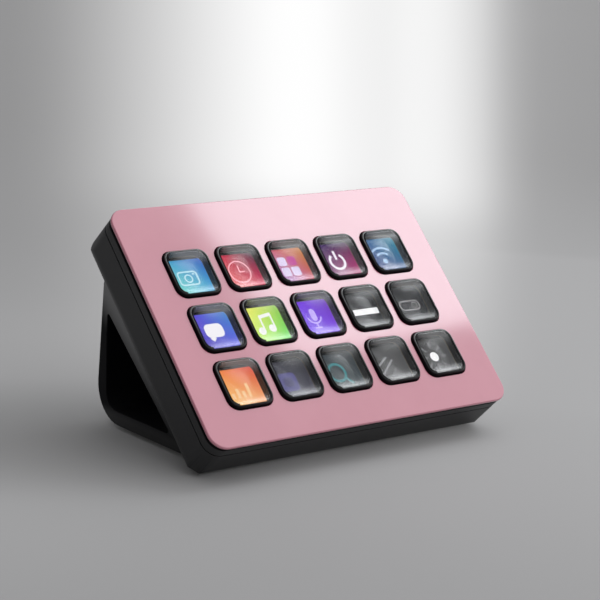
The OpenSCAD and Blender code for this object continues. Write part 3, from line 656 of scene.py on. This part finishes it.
# the nodes that keep their own shape
nodeLooks = {
    "rubber_key_mat": "matRubber", "contact_film": "contactFilm", "film_connector": "cream",
    "display_glass": "displayGlass", "display_tray": "trayMetal", "display_flex": "flexFilm",
    "display_connector": "cream", "display_spacer": "spacerPlastic", "main_board": "boardGreen",
    "microcontroller": "chipBlack", "memory_chips": "chipBlack", "usb_c_shell": "socketMetal",
    "usb_c_tongue": "chipBlack", "housing_screws": "screwSteel",
}
for node, look in nodeLooks.items():
    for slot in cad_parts[node].material_slots:
        slot.material = materials[look]
print("nodes dressed")

# floor: grey, with a painted shadow, a painted pool of light and a window's pale glow in a fan-shaped part of
# it
floorLook = {"size": 9.0, "cells": 4, "grey": (0.45, 0.448, 0.45, 1), "rough": 0.7, "specular": 0.2,
             "cloudScale": 3.0, "cloudTone": 1.03, "fanPlace": (-0.4178, -0.5206, 0.0), "fanTurn": 51.03,
             "fanHalfAngle": 8.2,
             # the painted light and shade and the glow are given from near to far, in metres from the fan's
             # centre
             "near": 0.5, "far": 1.5,
             # the right side's painted light and shade pass into the left side's between these shares of the
             # fan
             "rightUntil": 0.45, "leftFrom": 0.95,
             # outside the fan the floor turns plain, over so many half angles
             "plainTone": 0.93, "plainFrom": 1.05, "plainTo": 3.2,
             # how pale the glow is across the fan, from its right side to its left
             "across": [(0.0, 0.0), (0.10, 0.04), (0.15, 0.16), (0.20, 0.55), (0.26, 0.86), (0.32, 0.88),
                        (0.36, 0.80), (0.42, 0.88), (0.47, 1.0), (0.54, 1.0), (0.60, 0.86), (0.66, 0.70),
                        (0.72, 0.52), (0.78, 0.36), (0.84, 0.21), (0.90, 0.08), (0.96, 0.01), (1.0, 0.0)],
             # and how it fades towards the object, by distance
             "along": [(0.66, 0.0), (0.80, 0.30), (0.93, 0.48), (1.02, 0.60), (1.10, 0.90), (1.18, 1.0),
                       (1.3, 1.0)],
             # painted shade and light on the floor by distance, at the fan's left and right sides: a painted
             # shadow band on the left, a painted pool of light on the right
             "leftPaintedShade": [(0.50, 0.82), (0.58, 0.98), (0.605, 0.86), (0.635, 0.70), (0.665, 0.66),
                           (0.69, 0.74), (0.72, 0.94), (0.79, 0.93), (0.85, 0.84), (0.93, 0.79),
                           (0.99, 0.78), (1.3, 0.77)],
             "rightPaintedLightAndShade": [(0.50, 0.84), (0.58, 0.92), (0.66, 0.97), (0.72, 0.97), (0.80, 1.20),
                            (0.88, 1.36), (0.94, 1.18), (0.99, 0.90), (1.3, 0.86)]}


def addRamp(tree, share, stops, low=0.0, high=1.0):
    # a smooth ramp of greys, whose stops are given between low and high
    ramp = addNode(tree, "ShaderNodeValToRGB", None, {"Fac": share})
    ramp.color_ramp.interpolation = "B_SPLINE"
    parts = ramp.color_ramp.elements
    while len(parts) < len(stops):
        parts.new(0.5)
    for part, (place, value) in zip(parts, stops):
        part.position = (place - low) / (high - low)
        part.color = (value, value, value, 1)
    return ramp.outputs["Color"]


def floorPaintedLightAndGlow(tree, where, look):
    # the floor's grey times its painted shadow and painted light, and the share of the glow at each place
    inFan = addNode(tree, "ShaderNodeMapping", {"vector_type": "TEXTURE"},
                    {"Vector": where, "Location": look["fanPlace"],
                     "Rotation": (0, 0, math.radians(look["fanTurn"]))}).outputs["Vector"]
    turn = addNode(tree, "ShaderNodeTexGradient", {"gradient_type": "RADIAL"}, {"Vector": inFan}).outputs["Fac"]
    distance = addNode(tree, "ShaderNodeVectorMath", {"operation": "LENGTH"}, {0: inFan}).outputs["Value"]
    half = look["fanHalfAngle"] / 360
    aside = addNode(tree, "ShaderNodeMapRange", None,
                    {"Value": turn, "From Min": 0.5 - half, "From Max": 0.5 + half}).outputs["Result"]
    reach = addNode(tree, "ShaderNodeMapRange", None,
                    {"Value": distance, "From Min": look["near"], "From Max": look["far"]}).outputs["Result"]
    along, rightPaintedLightAndShade, leftPaintedShade = [addRamp(tree, reach, look[name], look["near"], look["far"])
                                    for name in ("along", "rightPaintedLightAndShade", "leftPaintedShade")]
    glow = addMath(tree, "MULTIPLY", addRamp(tree, aside, look["across"]), along)
    side = smoothRange(tree, aside, look["rightUntil"], look["leftFrom"])
    apart = addMath(tree, "ABSOLUTE", addMath(tree, "SUBTRACT", turn, 0.5))
    outside = smoothRange(tree, apart, half * look["plainFrom"], half * look["plainTo"])
    plain = (look["plainTone"], look["plainTone"], look["plainTone"], 1)
    # the painted shadow band and painted pool of light, by distance and side of the fan
    tones = mixColours(tree, outside, mixColours(tree, side, rightPaintedLightAndShade, leftPaintedShade), plain)
    clouds = addNode(tree, "ShaderNodeTexNoise", None,
                     {"Vector": where, "Scale": look["cloudScale"], "Detail": 2.0})
    pale = tuple(value * look["cloudTone"] for value in look["grey"])
    grey = mixColours(tree, clouds.outputs["Fac"], look["grey"], pale)
    return mixColours(tree, 1.0, grey, tones, blend_type="MULTIPLY", clamp_result=False), glow


def makeFloor():
    look = floorLook
    material, tree, shader = newMaterial("floorGrey")
    where = addNode(tree, "ShaderNodeTexCoord").outputs["Object"]
    tones, glow = floorPaintedLightAndGlow(tree, where, look)
    fillInputs(tree, shader, {"Base Color": tones, "Roughness": look["rough"],
                              "Specular IOR Level": look["specular"]})
    # the glow is seen by the camera and in gloss and glass, and lights nothing
    rays = addNode(tree, "ShaderNodeLightPath").outputs
    seen = addMath(tree, "MAXIMUM", rays["Is Camera Ray"], rays["Is Glossy Ray"])
    seen = addMath(tree, "MAXIMUM", seen, rays["Is Transmission Ray"])
    white = addNode(tree, "ShaderNodeEmission", None, {"Color": (1, 1, 1, 1), "Strength": 1.0})
    both = addNode(tree, "ShaderNodeMixShader", None,
                   {0: addMath(tree, "MULTIPLY", seen, glow), 1: shader.outputs["BSDF"],
                    2: white.outputs["Emission"]})
    fillInputs(tree, tree.nodes["Material Output"], {"Surface": both.outputs[0]})
    bm = bmesh.new()
    bmesh.ops.create_grid(bm, x_segments=look["cells"], y_segments=look["cells"], size=look["size"])
    floor = makeObject(bm, "floor", [material])


makeFloor()
print("floor made")

# the window's light, whose reflection lies on the plate: its lower corner and its two sides, in metres
windowLight = {"corner": (0.4757, -0.2209, 0.6228), "up": (-0.6195, 0.7789, 0.0973),
               "across": (0.3649, 0.3599, -0.8587), "tall": 0.26, "wide": 0.30, "radiance": 2.65,
               "colour": (0.95, 1.0, 1.04)}


def makeWindowLight():
    tall, wide = windowLight["tall"], windowLight["wide"]
    across = Vector(windowLight["across"]).normalized()
    up = Vector(windowLight["up"])
    up = (up - across * up.dot(across)).normalized()
    back = across.cross(up)
    centre = Vector(windowLight["corner"]) + up * tall / 2 + across * wide / 2
    lamp = bpy.data.lights.new("windowLight", "AREA")
    lamp.shape = "RECTANGLE"
    lamp.color = windowLight["colour"]
    lamp.size = wide
    lamp.size_y = tall
    lamp.energy = windowLight["radiance"] * math.pi * wide * tall
    item = bpy.data.objects.new("windowLight", lamp)
    item.matrix_world = Matrix.Translation(centre) @ Matrix((across, up, back)).transposed().to_4x4()
    scene.collection.objects.link(item)


makeWindowLight()

worldLook = {"towards": (0.75, -0.42, 0.52), "low": (0.11, 0.11, 0.113, 1), "high": (1.17, 1.17, 1.18, 1),
             "start": -0.5, "end": 0.92, "seen": (0.62, 0.62, 0.62, 1)}


def makeWorld():
    # bright towards the right, the front and above, dim the other way, and plain where the camera sees it
    world = bpy.data.worlds.new("studio")
    world.use_nodes = True
    scene.world = world
    tree = world.node_tree
    where = addNode(tree, "ShaderNodeTexCoord").outputs["Generated"]
    turn = addNode(tree, "ShaderNodeVectorMath", {"operation": "DOT_PRODUCT"},
                   {0: where, 1: Vector(worldLook["towards"]).normalized()})
    share = smoothRange(tree, turn.outputs["Value"], worldLook["start"], worldLook["end"])
    fill = mixColours(tree, share, worldLook["low"], worldLook["high"])
    rays = addNode(tree, "ShaderNodeLightPath").outputs
    fillInputs(tree, tree.nodes["Background"],
               {"Color": mixColours(tree, rays["Is Camera Ray"], fill, worldLook["seen"]), "Strength": 1.0})


makeWorld()
print("lights made")

camera = {"place": (-0.399066, -0.481882, 0.184011), "turn": (77.20386, -3.04047, -38.96743), "lens": 122.6226,
          "sensor": 36, "nearest": 0.01, "furthest": 50}
eye = bpy.data.cameras.new("camera")
eye.sensor_width = camera["sensor"]
eye.lens = camera["lens"]
eye.clip_start = camera["nearest"]
eye.clip_end = camera["furthest"]
eyeObject = bpy.data.objects.new("camera", eye)
eyeObject.location = camera["place"]
eyeObject.rotation_euler = [math.radians(value) for value in camera["turn"]]
scene.collection.objects.link(eyeObject)
scene.camera = eyeObject
scene.view_settings.view_transform = "Standard"

print("scene ready")
